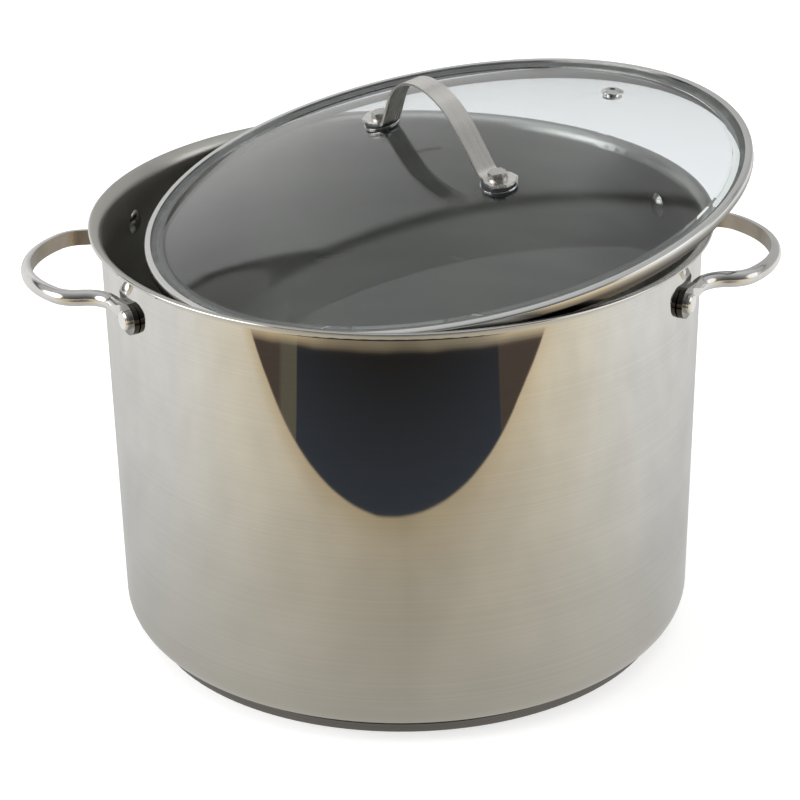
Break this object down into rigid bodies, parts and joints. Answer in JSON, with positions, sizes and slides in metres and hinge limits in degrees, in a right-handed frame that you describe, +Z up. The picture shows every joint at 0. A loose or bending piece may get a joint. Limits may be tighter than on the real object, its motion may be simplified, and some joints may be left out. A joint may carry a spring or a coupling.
{
  "type": "water bath canner",
  "caption": "Tall stainless steel canning pot with a sandwich base, riveted side handles, a domed glass lid set ajar and a lift-out wire jar rack",
  "frame": {"origin": "middle of the base disc's underside, on the surface that the canner stands on", "axes": "+Z up along the pot's axis, +X toward the right handle, -Y toward the front"},
  "size_m": [0.4195, 0.3536, 0.3164],
  "materials": {
    "pot_steel": "polished stainless steel outside, satin inside",
    "core_alloy": "bare, closed in by the cap and the pot",
    "base_steel": "satin, ring-brushed underneath",
    "handle_steel": "polished crown, satin inner face",
    "rivet_steel": "polished",
    "lid_glass": "clear tempered glass",
    "band_steel": "polished",
    "strap_steel": "satin, brushed along its length",
    "bolt_steel": "machined",
    "washer_steel": "polished",
    "gasket_rubber": "matt dark grey",
    "vent_steel": "polished",
    "rack_wire": "electropolished wire"
  },
  "bodies": {
    "pot": {"pot_body": "pot_steel", "base_core": "core_alloy", "base_cap": "base_steel", "left_handle": "handle_steel", "right_handle": "handle_steel", "left_rivet_front": "rivet_steel", "left_rivet_rear": "rivet_steel", "right_rivet_front": "rivet_steel", "right_rivet_rear": "rivet_steel"},
    "lid": {"lid_glass": "lid_glass", "lid_band": "band_steel", "lid_strap": "strap_steel", "lid_bolt_front": "bolt_steel", "lid_bolt_rear": "bolt_steel", "lid_gasket_front": "gasket_rubber", "lid_gasket_rear": "gasket_rubber", "lid_seat_front": "washer_steel", "lid_seat_rear": "washer_steel", "lid_pad_front": "gasket_rubber", "lid_pad_rear": "gasket_rubber", "lid_washer_front": "washer_steel", "lid_washer_rear": "washer_steel", "lid_nut_front": "bolt_steel", "lid_nut_rear": "bolt_steel", "vent_eyelet": "vent_steel"},
    "rack": {"rack_rings": "rack_wire", "rack_cross_wires": "rack_wire", "rack_legs": "rack_wire", "rack_eyes": "rack_wire"},
    "front_bail": {"rack_bail_front": "rack_wire"},
    "rear_bail": {"rack_bail_rear": "rack_wire"}
  },
  "joints": [
    {"name": "lid_lift", "type": "slide", "parent": "pot", "child": "lid", "axis": [0, 0, 1], "range_m": [0, 0.3]},
    {"name": "rack_lift", "type": "slide", "parent": "pot", "child": "rack", "axis": [0, 0, 1], "range_m": [0, 0.06]},
    {"name": "front_bail_turn", "type": "hinge", "parent": "rack", "child": "front_bail", "pos_m": [0, -0.14311, 0.03], "axis": [1, 0, 0], "range_deg": [0, 90]},
    {"name": "rear_bail_turn", "type": "hinge", "parent": "rack", "child": "rear_bail", "pos_m": [0, 0.14311, 0.03], "axis": [-1, 0, 0], "range_deg": [0, 90]}
  ]
}
